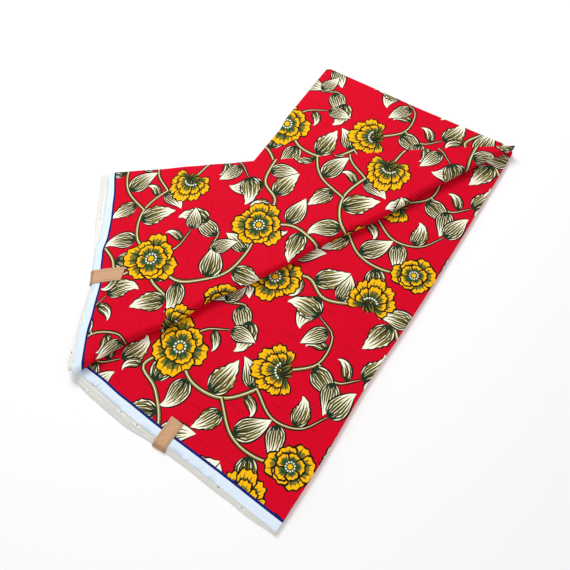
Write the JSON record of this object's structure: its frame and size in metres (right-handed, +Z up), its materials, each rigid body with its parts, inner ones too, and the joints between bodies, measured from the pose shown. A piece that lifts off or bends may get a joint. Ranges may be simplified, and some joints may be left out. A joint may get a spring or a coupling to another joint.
{
  "type": "wax print fabric",
  "caption": "Length of floral wax print cotton folded into a long flat packet, its upper layers turned over corner to corner as a flap.",
  "frame": {"origin": "middle of the folded cloth's bounding box, on the plane that it rests on", "axes": "+Y along the packet's long folded edges, away from its selvedges; +Z up, out of the face that shows"},
  "size_m": [0.4961, 0.5963, 0.0205],
  "materials": {
    "print_face": "crisp waxed cotton print, red ground with yellow flowers and olive and cream leaves, faint sheen",
    "folded_layers": "red cotton folds, seen edge on as fine layers",
    "selvedge": "unprinted white cotton selvedge with small navy marks",
    "label_paper": "matte tan paper label, folded over the edge"
  },
  "bodies": {
    "root": {"lower_core": "folded_layers", "lower_sheet": "print_face", "upper_core": "folded_layers", "upper_sheet": "print_face", "flap_core": "folded_layers", "flap_sheet": "print_face", "lower_selvedge_1": "selvedge", "lower_selvedge_2": "selvedge", "lower_selvedge_3": "selvedge", "lower_selvedge_4": "selvedge", "flap_selvedge_1": "selvedge", "flap_selvedge_2": "selvedge", "flap_selvedge_3": "selvedge", "flap_selvedge_4": "selvedge", "front_label": "label_paper", "side_label": "label_paper"}
  },
  "joints": []
}
